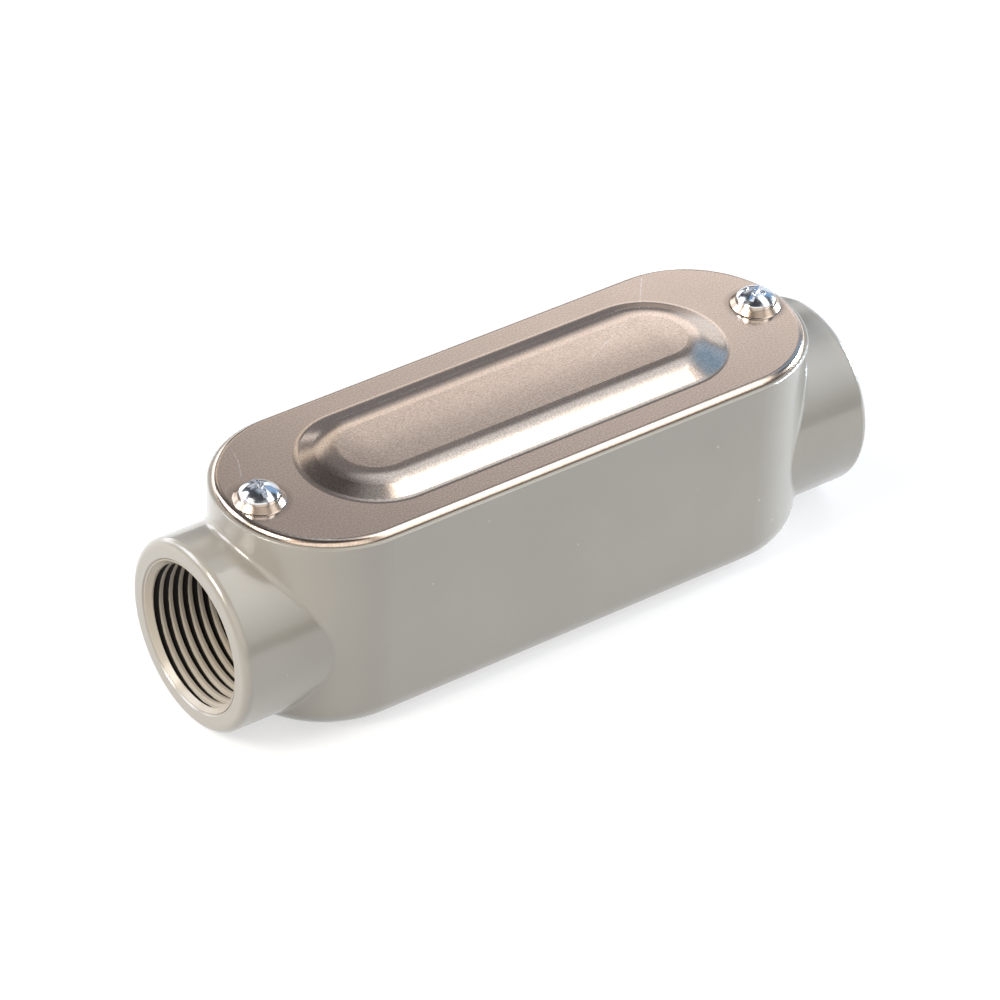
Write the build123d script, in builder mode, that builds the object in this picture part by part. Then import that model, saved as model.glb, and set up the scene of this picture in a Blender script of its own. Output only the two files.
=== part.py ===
from build123d import *
from math import atan2, radians, tan
import os

os.makedirs("parts", exist_ok=True)

# A straight-through conduit body for 3/4 trade size pipe, in millimetres. It lies on its flat back: the pipe
# runs along X, the cover faces +Z, and the origin is the middle of the back.

# Hubs: one at each end, on the pipe's axis
thread_root_radius = 13.1
thread_depth = 14.5
thread_mouth_bevel = 0.3
hub_wall = 3.4
hub_lift = 0.1  # keeps the hubs just off the surface that the back rests on
hub_reach = 7.15  # from the trough's round end out to the hub's face
hub_root_round = 1.0  # where the hub grows out of the trough
hub_lip_round = 1.4

# Integral bushing: the smooth rounded ring that the pipe's end stops against
throat_radius = 10.3
bushing_length = 3.75
bushing_land = 2.0  # width of the ring round the throat
bushing_stand = 1.5  # out of the wireway's end wall
bushing_round = 1.2

# Trough: oblong, with a flat back
end_spacing = 74.4  # between the centres of the two round ends
side_over_hub = 2.4  # the trough's side stands this far outside the hub
rim_over_hub = 4.35
wall = 2.8
floor_thickness = 2.8
draft = 1.0  # degrees, so that the core comes out of the wireway
bottom_round = 5.8
rim_round = 0.3
pocket_corner = 3.0
floor_round = 3.0

# Screw lugs: one on a shelf over each hub
screw_inset = 6.1  # from the round end in to the screw's axis
lug_wall = 2.25
shelf_wall = 2.3  # metal left over the threaded bore

# Gasket: cut from thin sheet
gasket_thickness = 0.25
gasket_gap = 0.1  # to the foot of the bend in the cover's edge
gasket_land = 2.8  # width of the ring along the sides
gasket_end_land = 12.5  # its width at the ends, round the screw

# Cover: stamped sheet, with its edge turned down
sheet = 0.7
inner_bend = 0.5
cover_inset = 0.6  # the casting shows this far outside the cover
edge_gap = 0.1  # from the turned edge down to the rim
panel_border = 5.7  # flat left along each side of the raised panel
panel_to_screw = 9.5
panel_rise = 1.9
panel_slope = 22.0  # degrees, of the panel's edge
panel_crown = 9.8  # the broad round from the panel's flat top into its edge
panel_foot_round = 2.5  # the hollow round at the foot of that edge
panel_brim = 1.0  # keeps the hollow round inside the drawn profile
boss_land = 0.2  # shows round the screw's head
boss_flare = 0.8
boss_rise = 0.9
boss_foot_round = 0.35

# Cover screws: 6-32 machine screws with a combined slot and cross
screw_radius = 1.7
screw_length = 7.9
screw_tip = 0.4
screw_clearance = 0.05  # to the tapped hole
screw_hole_margin = 0.4  # tapped hole beyond the screw's tip
screw_passage = 0.3  # to the holes in the cover and the gasket
head_radius = 3.3
head_height = 2.1
head_side = 0.7
head_shoulder_round = 0.3
slot_width = 0.9
slot_depth = 0.8
cross_reach = 1.9
cross_width = 0.85
cross_depth = 1.5
cross_foot = 0.5  # how far the cross reaches at its bottom
cross_narrowing = 0.6  # of its width there
screw_turns = {"left": 80, "right": 30}  # degrees from X to the slot

# Sizes and places that follow
hub_radius = thread_root_radius + hub_wall
hub_axis = hub_radius + hub_lift
body_width = 2 * (hub_radius + side_over_hub)
body_end = (end_spacing + body_width) / 2
rim_height = hub_axis + hub_radius + rim_over_hub
hub_face = body_end + hub_reach
bushing_radius = throat_radius + bushing_land
bushing_face = hub_face - thread_depth - bushing_length
pocket_end = bushing_face + bushing_stand
pocket_width = body_width - 2 * wall
screw_x = body_end - screw_inset
lug_radius = screw_radius + screw_clearance + lug_wall
shelf_height = hub_axis + thread_root_radius + shelf_wall
cover_base = rim_height + gasket_thickness
cover_top = cover_base + sheet
cover_width = body_width - 2 * cover_inset
cover_bore = cover_width - 2 * sheet
gasket_width = cover_bore - 2 * (inner_bend + gasket_gap)
panel_width = cover_width - 2 * panel_border
panel_length = 2 * (screw_x - panel_to_screw)
boss_top_radius = head_radius + boss_land
boss_foot_radius = boss_top_radius + boss_flare
head_seat = cover_top + boss_rise
hole_depth = rim_height - (head_seat - screw_length) + screw_hole_margin
hub_section = Plane.YZ.shift_origin((0, 0, hub_axis))


def oblong(width, half_length):
    """Oblong on the casting's centres, cut square at half_length."""
    with BuildSketch() as shape:
        SlotCenterToCenter(end_spacing, width)
        Rectangle(2 * half_length, width, mode=Mode.INTERSECT)
    return shape.sketch


def raised_panel(foot, half_width, crown, foot_round):
    """Oblong that stands panel_rise above foot, with a sloped edge that is rounded above and hollow below."""
    centre = (panel_length - panel_width) / 2
    shoulder = half_width - panel_rise / tan(radians(panel_slope))
    brim = half_width + panel_brim
    top = foot + panel_rise
    below = foot - sheet / 2
    with BuildPart() as form:
        with BuildSketch(Plane.YZ):
            with BuildLine():
                FilletPolyline((-brim, foot), (-half_width, foot), (-shoulder, top), (shoulder, top),
                               (half_width, foot), (brim, foot),
                               radius=(foot_round, crown, crown, foot_round))
                Polyline((brim, foot), (brim, below), (-brim, below), (-brim, foot))
            make_face()
        extrude(amount=centre, both=True)
        with BuildSketch(Plane.XZ):
            with BuildLine():
                FilletPolyline((centre, top), (centre + shoulder, top), (centre + half_width, foot),
                               (centre + brim, foot), radius=(crown, foot_round))
                Polyline((centre + brim, foot), (centre + brim, below), (centre, below), (centre, top))
            make_face()
        revolve(axis=Axis((centre, 0, 0), (0, 0, 1)))
        mirror(about=Plane.YZ)
    return form.part


with BuildPart() as casting:
    # The trough's outside, and one round bar through it for both hubs
    with BuildSketch():
        SlotCenterToCenter(end_spacing, body_width)
    extrude(amount=rim_height)
    fillet(casting.faces().sort_by(Axis.Z)[0].edges(), bottom_round)
    fillet(casting.faces().sort_by(Axis.Z)[-1].edges(), rim_round)
    with BuildSketch(hub_section):
        Circle(hub_radius)
    extrude(amount=hub_face, both=True)
    fillet(casting.edges(Select.NEW).filter_by_position(Axis.X, -body_end, body_end), hub_root_round)
    for face in (casting.faces().sort_by(Axis.X)[0], casting.faces().sort_by(Axis.X)[-1]):
        fillet(face.edges(), hub_lip_round)

    # The wireway, drawn down from the rim, with a rounded floor
    with BuildSketch(Plane.XY.offset(rim_height)):
        add(oblong(pocket_width, pocket_end))
        fillet(vertices().group_by(Axis.X)[0] + vertices().group_by(Axis.X)[-1], pocket_corner)
    extrude(amount=-(rim_height - floor_thickness), taper=draft, mode=Mode.SUBTRACT)
    wireway_floor = casting.faces().filter_by(Axis.Z).group_by(Axis.Z)[1]
    fillet(wireway_floor.edges(), floor_round)

    # The shelves over the hubs, with a lug left standing on each for the screw
    with BuildSketch(Plane.XY.offset(rim_height)):
        SlotCenterToCenter(end_spacing, pocket_width)
        with Locations((-screw_x, 0), (screw_x, 0)):
            Circle(lug_radius, mode=Mode.SUBTRACT)
    extrude(amount=shelf_height - rim_height, mode=Mode.SUBTRACT)

    # The bushings' rings stand proud of the wireway's end walls
    for direction in (-1, 1):
        with BuildSketch(hub_section.offset(direction * bushing_face)):
            Circle(bushing_radius)
        extrude(amount=direction * bushing_length)

    # The throat right through, and the threaded bores up to the bushings
    with BuildSketch(hub_section):
        Circle(throat_radius)
    extrude(amount=hub_face, both=True, mode=Mode.SUBTRACT)
    for direction in (-1, 1):
        with BuildSketch(hub_section.offset(direction * hub_face)):
            Circle(thread_root_radius)
        extrude(amount=-direction * thread_depth, mode=Mode.SUBTRACT)
        ring = casting.faces().filter_by(Axis.X).sort_by_distance((direction * bushing_face, 0, hub_axis))[0]
        fillet(ring.edges().filter_by(GeomType.CIRCLE).sort_by(SortBy.RADIUS)[0], bushing_round)
        mouth = casting.faces().filter_by(Axis.X).sort_by_distance((direction * hub_face, 0, hub_axis))[0]
        chamfer(mouth.edges().filter_by(GeomType.CIRCLE).sort_by(SortBy.RADIUS)[0], thread_mouth_bevel)

    # The tapped holes in the lugs
    with Locations((-screw_x, 0, rim_height), (screw_x, 0, rim_height)):
        Hole(screw_radius + screw_clearance, hole_depth)

with BuildPart() as gasket:
    with BuildSketch(Plane.XY.offset(rim_height)):
        SlotCenterToCenter(end_spacing, gasket_width)
        add(oblong(gasket_width - 2 * gasket_land, body_end - gasket_end_land), mode=Mode.SUBTRACT)
        with Locations((-screw_x, 0), (screw_x, 0)):
            Circle(screw_radius + screw_passage, mode=Mode.SUBTRACT)
    extrude(amount=gasket_thickness)

with BuildPart() as cover:
    # A shallow pan: flat sheet with its edge turned down round the outside and trimmed just over the rim
    with BuildSketch(Plane.XY.offset(cover_top)):
        SlotCenterToCenter(end_spacing, cover_width)
    extrude(amount=-2 * (sheet + inner_bend))
    fillet(cover.faces().sort_by(Axis.Z)[-1].edges(), sheet + inner_bend)
    with BuildSketch(Plane.XY.offset(cover_base)):
        SlotCenterToCenter(end_spacing, cover_bore)
    extrude(amount=-2 * (sheet + inner_bend), mode=Mode.SUBTRACT)
    inside = cover.faces().filter_by(Axis.Z).sort_by_distance((0, 0, cover_base))[0]
    fillet(inside.edges(), inner_bend)
    split(bisect_by=Plane.XY.offset(rim_height + edge_gap))

    # The raised panel, as thick as the sheet
    panel_offset = sheet * tan(radians(panel_slope) / 2)
    add(raised_panel(cover_top, panel_width / 2, panel_crown, panel_foot_round))
    hollow = raised_panel(cover_base, panel_width / 2 - panel_offset, panel_crown - sheet,
                          panel_foot_round + sheet)
    add(hollow, mode=Mode.SUBTRACT)

    # The drawn bosses under the screw heads
    boss_slope = atan2(boss_rise, boss_foot_radius - boss_top_radius)
    boss_offset = sheet * tan(boss_slope / 2)
    upright = (Align.CENTER, Align.CENTER, Align.MIN)
    with Locations((-screw_x, 0, cover_top), (screw_x, 0, cover_top)):
        Cone(boss_foot_radius, boss_top_radius, boss_rise, align=upright)
    feet = cover.edges().filter_by(GeomType.CIRCLE).filter_by_position(Axis.Z, cover_top, cover_top)
    fillet(feet.filter_by(lambda edge: edge.radius == boss_foot_radius), boss_foot_round)
    with Locations((-screw_x, 0, cover_base), (screw_x, 0, cover_base)):
        Cone(boss_foot_radius - boss_offset, boss_top_radius - boss_offset, boss_rise, align=upright,
             mode=Mode.SUBTRACT)
    with Locations((-screw_x, 0, head_seat), (screw_x, 0, head_seat)):
        Hole(screw_radius + screw_passage)

casting.part.label = "casting"
gasket.part.label = "gasket"
cover.part.label = "cover"
export_step(casting.part, "parts/casting.step")
export_step(gasket.part, "parts/gasket.step")
export_step(cover.part, "parts/cover.step")

with BuildPart() as screw:
    # Turned form: a shank with a bevelled tip under a crowned head
    with BuildSketch(Plane.XZ):
        with BuildLine():
            outline = Polyline(
                (0, head_height),
                (0, -screw_length),
                (screw_radius - screw_tip, -screw_length),
                (screw_radius, -screw_length + screw_tip),
                (screw_radius, 0),
                (head_radius, 0),
                (head_radius, head_side),
            )
            TangentArc(outline @ 0, outline @ 1, tangent=(1, 0))
        make_face()
        fillet(vertices().sort_by_distance((head_radius, head_side))[0], head_shoulder_round)
    revolve(axis=Axis.Z)

    # The slot runs right across, and the cross narrows towards its bottom
    with BuildSketch(Plane.XY.offset(head_height)):
        Rectangle(2 * head_radius, slot_width)
    extrude(amount=-slot_depth, mode=Mode.SUBTRACT)
    with BuildSketch(Plane.XY.offset(head_height)):
        Rectangle(2 * cross_reach, cross_width)
        Rectangle(cross_width, 2 * cross_reach)
    with BuildSketch(Plane.XY.offset(head_height - cross_depth)):
        Rectangle(2 * cross_foot, cross_width * cross_narrowing)
        Rectangle(cross_width * cross_narrowing, 2 * cross_foot)
    loft(mode=Mode.SUBTRACT)

for side, direction in (("left", -1), ("right", 1)):
    placed = screw.part.moved(Location((direction * screw_x, 0, head_seat), (0, 0, screw_turns[side])))
    placed.label = f"cover_screw_{side}"
    export_step(placed, f"parts/cover_screw_{side}.step")
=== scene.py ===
import math

import bmesh
import bpy
from mathutils import Matrix, Vector


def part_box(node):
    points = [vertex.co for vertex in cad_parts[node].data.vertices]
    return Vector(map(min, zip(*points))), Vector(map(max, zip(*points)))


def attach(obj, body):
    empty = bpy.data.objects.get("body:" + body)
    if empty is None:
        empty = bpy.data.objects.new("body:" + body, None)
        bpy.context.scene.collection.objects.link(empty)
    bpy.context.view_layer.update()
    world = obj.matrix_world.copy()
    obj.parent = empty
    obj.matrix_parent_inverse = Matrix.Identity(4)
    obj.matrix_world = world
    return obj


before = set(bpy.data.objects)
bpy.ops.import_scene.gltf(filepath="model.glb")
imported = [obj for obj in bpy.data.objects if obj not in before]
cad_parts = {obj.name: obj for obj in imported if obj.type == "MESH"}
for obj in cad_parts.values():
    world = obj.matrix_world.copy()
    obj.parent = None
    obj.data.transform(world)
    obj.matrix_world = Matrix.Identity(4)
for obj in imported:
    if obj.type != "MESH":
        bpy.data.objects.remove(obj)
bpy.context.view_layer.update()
scene = bpy.context.scene
scene.view_settings.view_transform = "Standard"

# The fitting lies on its flat back with its pipe along X. The camera looks down on it from its front left,
# as in the photograph, and is far away, so the long sides hardly run together.
body_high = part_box("casting")[1]
pipe_axis_height = 0.0166
camera_azimuth = math.radians(-38.19)
camera_elevation = math.radians(36.53)
camera_roll = math.radians(3.04)
camera_distance = 0.844
camera_shift_right = -0.00147
camera_shift_up = 0.00117
camera_lens_mm = 184.7
camera_sensor_mm = 36
camera_nearest = 0.01

level = math.cos(camera_elevation)
forward = Vector((-math.sin(camera_azimuth) * level, math.cos(camera_azimuth) * level,
                  -math.sin(camera_elevation)))
level_right = forward.cross(Vector((0, 0, 1))).normalized()
level_up = level_right.cross(forward)
right = math.cos(camera_roll) * level_right + math.sin(camera_roll) * level_up
up = math.cos(camera_roll) * level_up - math.sin(camera_roll) * level_right
place = Vector((0, 0, pipe_axis_height)) - forward * camera_distance
place += right * camera_shift_right + up * camera_shift_up
camera = bpy.data.objects.new("camera", bpy.data.cameras.new("camera"))
camera.data.lens = camera_lens_mm
camera.data.sensor_width = camera_sensor_mm
camera.data.clip_start = camera_nearest
camera.matrix_world = Matrix.Translation(place) @ Matrix((right, up, -forward)).transposed().to_4x4()
scene.collection.objects.link(camera)
scene.camera = camera


# The studio: a pale floor under the fitting, one tall soft lamp that reaches from low on its front right to
# overhead, a warm one on the left and a cool one low on the right. The walls are dim but for a few pale cards,
# which the metal mirrors.
floor_size = 0.64
floor_colour = (0.42, 0.42, 0.42)
floor_roughness = 0.9
floor_lift = 0.57
lamp_foot_height = 0.55
wall_colour = (0.058, 0.060, 0.070)


def spread(nodes, links, value, low, high, to_low, to_high):
    """Stretches a value from low..high to to_low..to_high and holds it there."""
    ramp = nodes.new("ShaderNodeMapRange")
    ramp.inputs["From Min"].default_value = low
    ramp.inputs["From Max"].default_value = high
    ramp.inputs["To Min"].default_value = to_low
    ramp.inputs["To Max"].default_value = to_high
    links.new(value, ramp.inputs["Value"])
    return ramp.outputs["Result"]


def work_out(nodes, links, operation, one, other):
    """Sum, product or the like of two values; either may be a number or a socket."""
    step = nodes.new("ShaderNodeMath")
    step.operation = operation
    for socket, value in ((step.inputs[0], one), (step.inputs[1], other)):
        if isinstance(value, (int, float)):
            socket.default_value = value
        else:
            links.new(value, socket)
    return step.outputs[0]


def soft_lamp(name, direction, along, distance, width, height, watts, colour=(1, 1, 1), foot=1,
              fade=0.01):
    """Rectangular lamp that faces the middle of the fitting, its height laid along the direction along. Its
    lower half fades to foot of its strength, and fade of its width fades to nothing at either side."""
    data = bpy.data.lights.new(name, "AREA")
    data.shape = "RECTANGLE"
    data.size = width
    data.size_y = height
    data.energy = watts
    data.color = colour
    lamp = bpy.data.objects.new(name, data)
    towards = Vector(direction).normalized()
    side = Vector(along).cross(towards).normalized()
    middle = Vector((0, 0, pipe_axis_height)) + towards * distance
    turned = Matrix((side, towards.cross(side), towards)).transposed().to_4x4()
    lamp.matrix_world = Matrix.Translation(middle) @ turned
    scene.collection.objects.link(lamp)
    data.use_nodes = True
    nodes, links = data.node_tree.nodes, data.node_tree.links
    apart = nodes.new("ShaderNodeSeparateXYZ")
    links.new(nodes.new("ShaderNodeNewGeometry").outputs["Parametric"], apart.inputs[0])
    from_side = work_out(nodes, links, "PINGPONG", apart.outputs["X"], 0.5)
    across = spread(nodes, links, from_side, 0, fade, 0, 1)
    up_it = spread(nodes, links, apart.outputs["Y"], 0, lamp_foot_height, foot, 1)
    links.new(work_out(nodes, links, "MULTIPLY", across, up_it), nodes["Emission"].inputs["Strength"])


def pale_floor():
    """Pale floor that the camera and the metal see as white and that keeps the shadow."""
    sheet = bmesh.new()
    bmesh.ops.create_grid(sheet, x_segments=1, y_segments=1, size=floor_size / 2)
    mesh = bpy.data.meshes.new("floor")
    sheet.to_mesh(mesh)
    sheet.free()
    floor = bpy.data.objects.new("floor", mesh)
    scene.collection.objects.link(floor)
    material = bpy.data.materials.new("floor")
    material.use_nodes = True
    nodes, links = material.node_tree.nodes, material.node_tree.links
    shader = nodes["Principled BSDF"]
    shader.inputs["Base Color"].default_value = (*floor_colour, 1)
    shader.inputs["Roughness"].default_value = floor_roughness
    shader.inputs["Emission Color"].default_value = (1, 1, 1, 1)
    seen = nodes.new("ShaderNodeLightPath").outputs
    either = work_out(nodes, links, "MAXIMUM", seen["Is Camera Ray"], seen["Is Glossy Ray"])
    links.new(work_out(nodes, links, "MULTIPLY", either, floor_lift), shader.inputs["Emission Strength"])
    mesh.materials.append(material)


pale_floor()
soft_lamp("lamp_front_right", (0.48, -0.525, 0.703), (0, 0.804, 0.595), 1.3, 0.74, 2.1, 14,
          foot=0.3, fade=0.27)
soft_lamp("lamp_left", (-0.77, 0.06, 0.635), (0, 0, 1), 1.2, 0.5, 0.5, 13, (1, 0.93, 0.83))
soft_lamp("lamp_right", (0.98, -0.08, 0.18), (0, 0, 1), 1.2, 0.4, 0.3, 20, (0.78, 0.89, 1))


def studio_walls(cards):
    """Walls, each card on them with its colour and where it starts, is full, stops being full and ends: first
    by the sideways part of the direction, then by degrees from the far horizon over the top."""
    world = bpy.data.worlds.new("studio")
    world.use_nodes = True
    nodes, links = world.node_tree.nodes, world.node_tree.links
    apart = nodes.new("ShaderNodeSeparateXYZ")
    links.new(nodes.new("ShaderNodeTexCoord").outputs["Generated"], apart.inputs[0])
    sideways = apart.outputs["X"]
    over = work_out(nodes, links, "ARCTAN2", apart.outputs["Z"], apart.outputs["Y"])
    over = work_out(nodes, links, "MULTIPLY", over, math.degrees(1))
    total = None
    for colour, across, around in cards:
        share = None
        for value, (start, full, full_end, end) in ((sideways, across), (over, around)):
            for edge in (spread(nodes, links, value, start, full, 0, 1),
                         spread(nodes, links, value, full_end, end, 1, 0)):
                share = edge if share is None else work_out(nodes, links, "MULTIPLY", share, edge)
        card = nodes.new("ShaderNodeVectorMath")
        card.operation = "SCALE"
        card.inputs[0].default_value = colour
        links.new(share, card.inputs["Scale"])
        both = nodes.new("ShaderNodeVectorMath")
        links.new(card.outputs[0], both.inputs[0])
        if total is None:
            both.inputs[1].default_value = wall_colour
        else:
            links.new(total, both.inputs[1])
        total = both.outputs[0]
    walls = nodes["Background"]
    links.new(total, walls.inputs["Color"])
    backdrop = nodes.new("ShaderNodeBackground")
    backdrop.inputs["Color"].default_value = (1, 1, 1, 1)
    seen = nodes.new("ShaderNodeLightPath")
    either = nodes.new("ShaderNodeMixShader")
    links.new(seen.outputs["Is Camera Ray"], either.inputs["Fac"])
    links.new(walls.outputs["Background"], either.inputs[1])
    links.new(backdrop.outputs["Background"], either.inputs[2])
    links.new(either.outputs["Shader"], nodes["World Output"].inputs["Surface"])
    return world


scene.world = studio_walls([
    ((1.12, 1.12, 1.17), (0.42, 0.55, 0.70, 0.76), (8, 31, 41, 46.5)),
    ((0.66, 0.63, 0.585), (0.00, 0.08, 0.42, 0.54), (24, 28, 36, 41)),
    ((0.72, 0.78, 0.85), (0.68, 0.76, 0.88, 0.95), (-12, -4, 36, 44)),
    ((0.12, 0.13, 0.15), (-0.10, 0.15, 0.98, 1.00), (-30, -10, 60, 66)),
    ((0.72, 0.82, 0.95), (-0.06, 0.36, 0.58, 0.64), (60, 66, 82, 90)),
    ((0.17, 0.34, 0.57), (0.60, 0.66, 0.95, 1.00), (44, 52, 84, 92)),
    ((1.25, 1.22, 1.18), (-0.97, -0.90, 0.05, 0.25), (118, 130, 172, 182)),
    ((3.20, 3.30, 3.50), (-0.45, -0.30, 0.20, 0.32), (-6, 0, 10, 18)),
    ((5.50, 5.80, 6.40), (-0.80, -0.70, -0.35, -0.25), (15, 25, 45, 55)),
])


# Casting: one die-cast piece under a baked beige-grey powder paint, semi-gloss, with the faint orange peel
# and the odd speck of dust that such paint has. It is painted before the cover goes on.
paint_colour = (0.298, 0.277, 0.240)
paint_light_colour = (0.328, 0.306, 0.264)
speck_colour = (0.62, 0.52, 0.4)
peel_size = 0.0011
peel_height = 0.000016
paint_cloud_size = 0.025
paint_roughness = 0.34, 0.42
coat_roughness = 0.16
coat_index = 1.6
speck_spacing = 0.006
speck_radius = 0.00009
speck_edge = 1.8
large_specks = [(0.0279, -0.0189, 0.0293), (0.0379, -0.0189, 0.0144), (0.0416, -0.0184, 0.0085)]
large_speck_radius = 0.0003
large_speck_cover = 0.6


def new_material(name):
    """Node material; returns the material, its nodes, its links and its shader."""
    material = bpy.data.materials.new(name)
    material.use_nodes = True
    tree = material.node_tree
    return material, tree.nodes, tree.links, tree.nodes["Principled BSDF"]


def place_on_piece(nodes):
    """Place on the piece in metres, which holds still when the camera moves."""
    return nodes.new("ShaderNodeTexCoord").outputs["Object"]


def noise(nodes, links, where, size, detail=2.0):
    """Soft noise from 0 to 1 whose lumps are about size across."""
    texture = nodes.new("ShaderNodeTexNoise")
    texture.inputs["Scale"].default_value = 1 / size
    texture.inputs["Detail"].default_value = detail
    links.new(where, texture.inputs["Vector"])
    return texture.outputs["Fac"]


def blend_colours(nodes, links, share, one, other):
    """Goes from one colour to the other by share; either may be a colour or a socket."""
    mix = nodes.new("ShaderNodeMix")
    mix.data_type = "RGBA"
    links.new(share, mix.inputs["Factor"])
    for socket, colour in ((mix.inputs["A"], one), (mix.inputs["B"], other)):
        if isinstance(colour, tuple):
            socket.default_value = (*colour, 1)
        else:
            links.new(colour, socket)
    return mix.outputs["Result"]


def relief(nodes, links, shader, height, depth):
    """Bump from a height of 0 to 1 that stands depth metres."""
    bump = nodes.new("ShaderNodeBump")
    bump.inputs["Distance"].default_value = depth
    links.new(height, bump.inputs["Height"])
    links.new(bump.outputs["Normal"], shader.inputs["Normal"])
    return bump


def specks(nodes, links, where, spacing, radius):
    """1 inside rare round specks, 0 elsewhere."""
    cells = nodes.new("ShaderNodeTexVoronoi")
    cells.inputs["Scale"].default_value = 1 / spacing
    links.new(where, cells.inputs["Vector"])
    share = radius / spacing
    return spread(nodes, links, cells.outputs["Distance"], share, share * speck_edge, 1, 0)


def off_point(nodes, links, where, point):
    """Distance in metres from a place."""
    apart = nodes.new("ShaderNodeVectorMath")
    apart.operation = "DISTANCE"
    apart.inputs[1].default_value = point
    links.new(where, apart.inputs[0])
    return apart.outputs["Value"]


def dress(node, material):
    """Gives a CAD node its material."""
    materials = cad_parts[node].data.materials
    materials.clear()
    materials.append(material)


def powder_paint(name):
    """Baked powder paint; returns what new_material does."""
    material, nodes, links, shader = new_material(name)
    where = place_on_piece(nodes)
    cloud = noise(nodes, links, where, paint_cloud_size)
    light = spread(nodes, links, cloud, 0.35, 0.65, 0, 1)
    colour = blend_colours(nodes, links, light, paint_colour, paint_light_colour)
    speck = specks(nodes, links, where, speck_spacing, speck_radius)
    colour = blend_colours(nodes, links, speck, colour, speck_colour)
    for point in large_specks:
        spot = spread(nodes, links, off_point(nodes, links, where, point),
                      large_speck_radius / 2, large_speck_radius, large_speck_cover, 0)
        colour = blend_colours(nodes, links, spot, colour, speck_colour)
    links.new(colour, shader.inputs["Base Color"])
    links.new(spread(nodes, links, cloud, 0.3, 0.7, *paint_roughness), shader.inputs["Roughness"])
    shader.inputs["Coat Weight"].default_value = 1
    shader.inputs["Coat Roughness"].default_value = coat_roughness
    shader.inputs["Coat IOR"].default_value = coat_index
    peel = noise(nodes, links, where, peel_size, 1.0)
    bump = relief(nodes, links, shader, peel, peel_height)
    links.new(bump.outputs["Normal"], shader.inputs["Coat Normal"])
    return material, nodes, links, shader


dress("casting", powder_paint("powder_paint")[0])


# Threads: a taper pipe thread, 14 to the inch and right-handed, tapped in each hub from a smooth lead-in
# down to the bushing. The powder lies on its crests and hardly gets into the grooves, which are coloured
# near-black, partly as bare metal and partly as painted shade that climbs further up the flanks towards the
# upper far wall. The crests' paint is paler than the casting's, as painted light.
bore_radius = 0.0131
bore_depth = 0.0145
bore_clearance = 0.00002
thread_pitch = 0.0254 / 14
thread_taper = 1 / 16
thread_flank = math.radians(30)
thread_steps = 96
thread_sharp_angle = math.radians(35)
crest_width = 0.28 * thread_pitch
root_width = 0.06 * thread_pitch
lead_in_depth = 0.0011
groove_start = 0.0008
groove_full = 0.0013
groove_end = 0.0026
# Near-black of the grooves: bare metal and painted shade.
bare_and_shaded_groove_colour = (0.012, 0.010, 0.009)
# Painted light: the crests' powder paint is paler than the casting's, to light them inside the bore.
lit_thread_paint_colour = (0.42, 0.375, 0.311)
# Painted shade: towards the upper far wall of each bore the dark climbs further up the flanks.
shade_side = Vector((0, 0.55, 0.83)) / bore_radius
shade_span = -0.2, 2.2
powder_and_shade_reach = 0.72, 0.0
ragged_size = 0.0012
ragged_reach = 0.025
bare_and_shaded_edge = -0.03, 0.05
thread_roughness = 0.4, 0.9
thread_coat = 0.25


def wound_thread():
    """Threaded lining of the right hub: one pitch of its profile wound inwards, cut square and walled."""
    mouth = body_high.x - groove_start / 4
    inner_end = body_high.x - bore_depth + bore_clearance
    flank = (thread_pitch - crest_width - root_width) / 2
    height = flank / math.tan(thread_flank)
    outer = bore_radius - bore_clearance
    crest_radius = outer - height
    profile = [(0, crest_radius), (crest_width, crest_radius), (crest_width + flank, outer),
               (crest_width + flank + root_width, outer), (thread_pitch, crest_radius)]
    lining = bmesh.new()
    groove = lining.verts.layers.float.new("groove")
    start = inner_end - 2 * thread_pitch
    points = [lining.verts.new((start + x, 0, pipe_axis_height + r)) for x, r in profile]
    chain = [lining.edges.new(pair) for pair in zip(points, points[1:])]
    bmesh.ops.subdivide_edges(lining, edges=chain, cuts=3)
    bmesh.ops.spin(lining, geom=lining.verts[:] + lining.edges[:], cent=(0, 0, pipe_axis_height),
                   axis=(1, 0, 0), dvec=(thread_pitch / thread_steps, 0, 0), angle=2 * math.pi,
                   steps=thread_steps)
    turn = lining.verts[:] + lining.edges[:] + lining.faces[:]
    for count in range(1, math.ceil(bore_depth / thread_pitch) + 4):
        again = bmesh.ops.duplicate(lining, geom=turn)["geom"]
        bmesh.ops.translate(lining, vec=(count * thread_pitch, 0, 0),
                            verts=[item for item in again if isinstance(item, bmesh.types.BMVert)])
    bmesh.ops.remove_doubles(lining, verts=lining.verts[:], dist=1e-6)
    for point in lining.verts:
        across = Vector((0, point.co.y, point.co.z - pipe_axis_height))
        depth = body_high.x - point.co.x
        opening = min(max((depth - groove_start) / (groove_full - groove_start), 0), 1)
        closing = min(max((depth - bore_depth + groove_end) / groove_end, 0), 1)
        share = (across.length - crest_radius) / height * opening * (1 - closing)
        radius = crest_radius + share * height - depth * thread_taper / 2
        lead_in = outer - max(depth, 0) * height / lead_in_depth
        point[groove] = share
        point.co += across * (max(radius, lead_in) / across.length - 1)
    for wall, outwards in ((mouth, 1), (inner_end, -1)):
        bmesh.ops.bisect_plane(lining, geom=lining.verts[:] + lining.edges[:] + lining.faces[:],
                               plane_co=(wall, 0, 0), plane_no=(outwards, 0, 0), clear_outer=True)
    rims = [edge for edge in lining.edges if edge.is_boundary]
    ends = bmesh.ops.extrude_edge_only(lining, edges=rims)["geom"]
    for point in [item for item in ends if isinstance(item, bmesh.types.BMVert)]:
        across = Vector((0, point.co.y, point.co.z - pipe_axis_height))
        point.co += across * (outer / across.length - 1)
        point[groove] = 0
    bmesh.ops.bridge_loops(lining, edges=[edge for edge in lining.edges if edge.is_boundary])
    bmesh.ops.remove_doubles(lining, verts=lining.verts[:], dist=1e-6)
    bmesh.ops.recalc_face_normals(lining, faces=lining.faces[:])
    return lining


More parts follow.
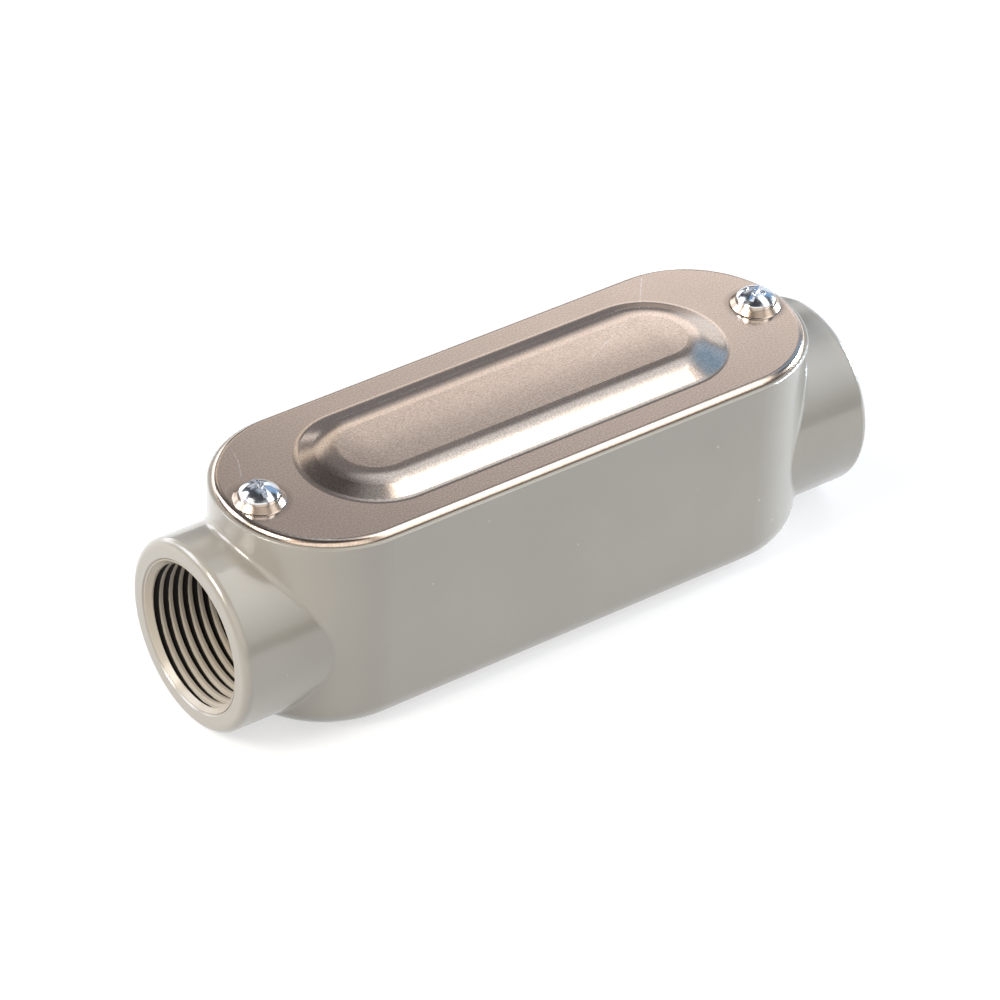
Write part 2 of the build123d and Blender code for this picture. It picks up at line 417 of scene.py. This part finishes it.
def thread_finish():
    """The powder paint made paler as painted light, with near-black grooves: bare metal where the powder didn't
    reach, and painted shade reaching further up the flanks towards the upper far wall.
    """
    material, nodes, links, shader = powder_paint("thread_paint")
    depth = nodes.new("ShaderNodeAttribute")
    depth.attribute_name = "groove"
    where = place_on_piece(nodes)
    slope = nodes.new("ShaderNodeVectorMath")
    slope.operation = "DOT_PRODUCT"
    slope.inputs[1].default_value = shade_side
    links.new(where, slope.inputs[0])
    # Painted shade: less of each flank keeps its paint towards the upper far wall.
    reach = spread(nodes, links, slope.outputs["Value"], *shade_span, *powder_and_shade_reach)
    ragged = noise(nodes, links, where, ragged_size, 3.0)
    ragged = spread(nodes, links, ragged, 0.3, 0.7, -ragged_reach, ragged_reach)
    over = work_out(nodes, links, "SUBTRACT", depth.outputs["Fac"], reach)
    bare_and_shaded = spread(nodes, links, work_out(nodes, links, "ADD", over, ragged), *bare_and_shaded_edge, 0, 1)
    # Paint paler than the casting's as painted light; grooves near-black as bare metal and painted shade.
    colour = blend_colours(nodes, links, bare_and_shaded, lit_thread_paint_colour, bare_and_shaded_groove_colour)
    links.new(colour, shader.inputs["Base Color"])
    links.new(spread(nodes, links, bare_and_shaded, 0, 1, *thread_roughness), shader.inputs["Roughness"])
    links.new(spread(nodes, links, bare_and_shaded, 0, 1, thread_coat, 0), shader.inputs["Coat Weight"])
    return material


thread_material = thread_finish()
thread_right = wound_thread()
thread_left = thread_right.copy()
bmesh.ops.rotate(thread_left, verts=thread_left.verts[:], cent=(0, 0, 0),
                 matrix=Matrix.Rotation(math.pi, 3, "Z"))
for name, lining in (("hub_thread_right", thread_right), ("hub_thread_left", thread_left)):
    mesh = bpy.data.meshes.new(name)
    lining.to_mesh(mesh)
    lining.free()
    for face in mesh.polygons:
        face.use_smooth = True
    mesh.set_sharp_from_angle(angle=thread_sharp_angle)
    mesh.materials.append(thread_material)
    thread = bpy.data.objects.new(name, mesh)
    scene.collection.objects.link(thread)
    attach(thread, "root")


# Gasket: a ring cut flat from thin dark gasket sheet and laid on the casting's rim, where the cover and its two
# screws hold it. The cover's turned edge hides it from every side.
gasket_colour = (0.045, 0.04, 0.036)
gasket_light_colour = (0.08, 0.072, 0.066)
gasket_roughness = 0.85
fibre_size = 0.0004
fibre_height = 0.00003

sheet_material, nodes, links, shader = new_material("gasket_sheet")
where = place_on_piece(nodes)
fibre = noise(nodes, links, where, fibre_size, 4.0)
colour = blend_colours(nodes, links, fibre, gasket_colour, gasket_light_colour)
links.new(colour, shader.inputs["Base Color"])
shader.inputs["Roughness"].default_value = gasket_roughness
relief(nodes, links, shader, fibre, fibre_height)
dress("gasket", sheet_material)


# Cover: one piece of thin steel sheet, stamped with its raised panel, its bosses and its turned-down edge, and
# plated a warm satin grey. The stamping leaves the panel a little domed and the flange a little drooping. The
# sheet's fine grain shows, with a few light scratches and dark nicks from handling.
plate_colour = (0.94, 0.75, 0.605)
plate_dark_colour = (0.64, 0.505, 0.40)
# The flange's colours are the plating's, darkened as painted shade over the flange, its turned edge and bosses.
flange_shaded_colour = (0.81, 0.648, 0.524)
flange_shaded_dark_colour = (0.61, 0.487, 0.390)
plate_cloud_size = 0.012
plate_roughness = 0.15, 0.19
cover_straight = 0.0372
turned_reach = 0.0174, 0.0180
turned_roughness = 0.22
grain_size = 0.0003
grain_height = 0.0000035
panel_straight = 0.0279
panel_foot = 0.0120, 0.0132
panel_dome = 0.000137
panel_dome_reach = 0.012
flange_droop = 0.00009
flange_start, flange_end = 0.0130, 0.0290
boss_reach = 0.0040, 0.0056
# Painted shade: a darker ring of plating round each screw's boss.
boss_shade_colour = (0.34, 0.27, 0.215)
boss_shade_cover = 0.8
drawn_roughness = 0.26
scratch_colour = (0.98, 0.93, 0.88)
scratch_width = 0.0001
broken_size = 0.0012
scratches = [
    ((-0.0461, 0.0136, 0.0384), (-0.0470, 0.0104, 0.0384)),
    ((-0.0470, 0.0104, 0.0384), (-0.0489, 0.0067, 0.0384)),
    ((0.0387, 0.0165, 0.0384), (0.0345, 0.0115, 0.0384)),
    ((0.0270, 0.0056, 0.0403), (0.0160, 0.0005, 0.0403)),
]
nick_colour = (0.10, 0.07, 0.05)
nicks = [
    ((-0.0464, -0.0166, 0.0379), 0.0004),
    ((-0.0270, -0.0090, 0.0393), 0.00025),
    ((0.0260, -0.0075, 0.0400), 0.0002),
]


def off_line(nodes, links, where, start, end):
    """Distance in metres from the straight line between two places."""
    run = Vector(end) - Vector(start)
    away = nodes.new("ShaderNodeVectorMath")
    away.operation = "SUBTRACT"
    away.inputs[1].default_value = start
    links.new(where, away.inputs[0])
    share = nodes.new("ShaderNodeVectorMath")
    share.operation = "DOT_PRODUCT"
    share.inputs[1].default_value = run / run.length_squared
    links.new(away.outputs[0], share.inputs[0])
    nearest = nodes.new("ShaderNodeVectorMath")
    nearest.operation = "SCALE"
    nearest.inputs[0].default_value = run
    links.new(spread(nodes, links, share.outputs["Value"], 0, 1, 0, 1), nearest.inputs["Scale"])
    apart = nodes.new("ShaderNodeVectorMath")
    apart.operation = "DISTANCE"
    links.new(away.outputs[0], apart.inputs[0])
    links.new(nearest.outputs[0], apart.inputs[1])
    return apart.outputs["Value"]


def oblong_distance(nodes, links, where, straight):
    """Distance in metres from the middle line of an oblong, straight as far as straight either way."""
    apart = nodes.new("ShaderNodeSeparateXYZ")
    links.new(where, apart.inputs[0])
    past = work_out(nodes, links, "ABSOLUTE", apart.outputs["X"], 0)
    past = work_out(nodes, links, "MAXIMUM", work_out(nodes, links, "SUBTRACT", past, straight), 0)
    squares = [work_out(nodes, links, "MULTIPLY", value, value) for value in (past, apart.outputs["Y"])]
    return work_out(nodes, links, "SQRT", work_out(nodes, links, "ADD", *squares), 0)


plated, nodes, links, shader = new_material("cover_plating")
where = place_on_piece(nodes)
grain = noise(nodes, links, where, grain_size, 3.0)
cloud = noise(nodes, links, where, plate_cloud_size, 3.0)
from_middle = oblong_distance(nodes, links, where, panel_straight)
from_cover_middle = oblong_distance(nodes, links, where, cover_straight)
light = spread(nodes, links, grain, 0.3, 0.7, 0, 1)
# Panel in the plating's colours; the flange in its darker copy as painted shade.
colour = blend_colours(nodes, links, spread(nodes, links, from_middle, *panel_foot, 0, 1),
                       blend_colours(nodes, links, light, plate_dark_colour, plate_colour),
                       blend_colours(nodes, links, light, flange_shaded_dark_colour, flange_shaded_colour))
rough = spread(nodes, links, cloud, 0.3, 0.7, *plate_roughness)
turned = spread(nodes, links, from_cover_middle, *turned_reach, 0.1, turned_roughness)
rough = work_out(nodes, links, "MAXIMUM", rough, turned)
for node in ("cover_screw_left", "cover_screw_right"):
    low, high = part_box(node)
    screw_x = (low[0] + high[0]) / 2
    axis = off_line(nodes, links, where, (screw_x, 0, 0), (screw_x, 0, 1))
    drawn = spread(nodes, links, axis, *boss_reach, drawn_roughness, 0.1)
    rough = work_out(nodes, links, "MAXIMUM", rough, drawn)
    # Painted shade darkens the cover round each screw.
    boss_shade = spread(nodes, links, axis, *boss_reach, boss_shade_cover, 0)
    colour = blend_colours(nodes, links, boss_shade, colour, boss_shade_colour)
broken = spread(nodes, links, noise(nodes, links, where, broken_size, 3.0), 0.42, 0.58, 0.2, 0.7)
for start, end in scratches:
    line = off_line(nodes, links, where, start, end)
    line = spread(nodes, links, line, scratch_width / 3, scratch_width * 1.5, 1, 0)
    line = work_out(nodes, links, "MULTIPLY", line, broken)
    colour = blend_colours(nodes, links, line, colour, scratch_colour)
for point, radius in nicks:
    spot = spread(nodes, links, off_point(nodes, links, where, point), radius * 0.5, radius, 1, 0)
    spot = work_out(nodes, links, "MULTIPLY", spot, broken)
    colour = blend_colours(nodes, links, spot, colour, nick_colour)
links.new(colour, shader.inputs["Base Color"])
shader.inputs["Metallic"].default_value = 1
links.new(rough, shader.inputs["Roughness"])
texture = relief(nodes, links, shader, grain, grain_height)
dome = nodes.new("ShaderNodeMapRange")
dome.interpolation_type = "SMOOTHSTEP"
for socket, value in (("From Max", panel_dome_reach), ("To Min", panel_dome), ("To Max", 0)):
    dome.inputs[socket].default_value = value
links.new(from_middle, dome.inputs["Value"])
droop = spread(nodes, links, from_middle, flange_start, flange_end, 0, -flange_droop)
form = nodes.new("ShaderNodeBump")
form.inputs["Distance"].default_value = 1
links.new(work_out(nodes, links, "ADD", dome.outputs["Result"], droop), form.inputs["Height"])
links.new(form.outputs["Normal"], texture.inputs["Normal"])
dress("cover", plated)


# Cover screws: two plated machine screws with crowned heads, each with a slot and a cross, turned down on
# the bosses of the cover.
zinc_colour = (0.82, 0.84, 0.87)
zinc_cloud_size = 0.0008
zinc_roughness = 0.1, 0.22
zinc_grain_size = 0.0003
zinc_grain_height = 0.000004

zinc, nodes, links, shader = new_material("screw_zinc")
where = place_on_piece(nodes)
shader.inputs["Base Color"].default_value = (*zinc_colour, 1)
shader.inputs["Metallic"].default_value = 1
cloud = noise(nodes, links, where, zinc_cloud_size, 3.0)
links.new(spread(nodes, links, cloud, 0.3, 0.7, *zinc_roughness), shader.inputs["Roughness"])
relief(nodes, links, shader, noise(nodes, links, where, zinc_grain_size), zinc_grain_height)
dress("cover_screw_left", zinc)
dress("cover_screw_right", zinc)
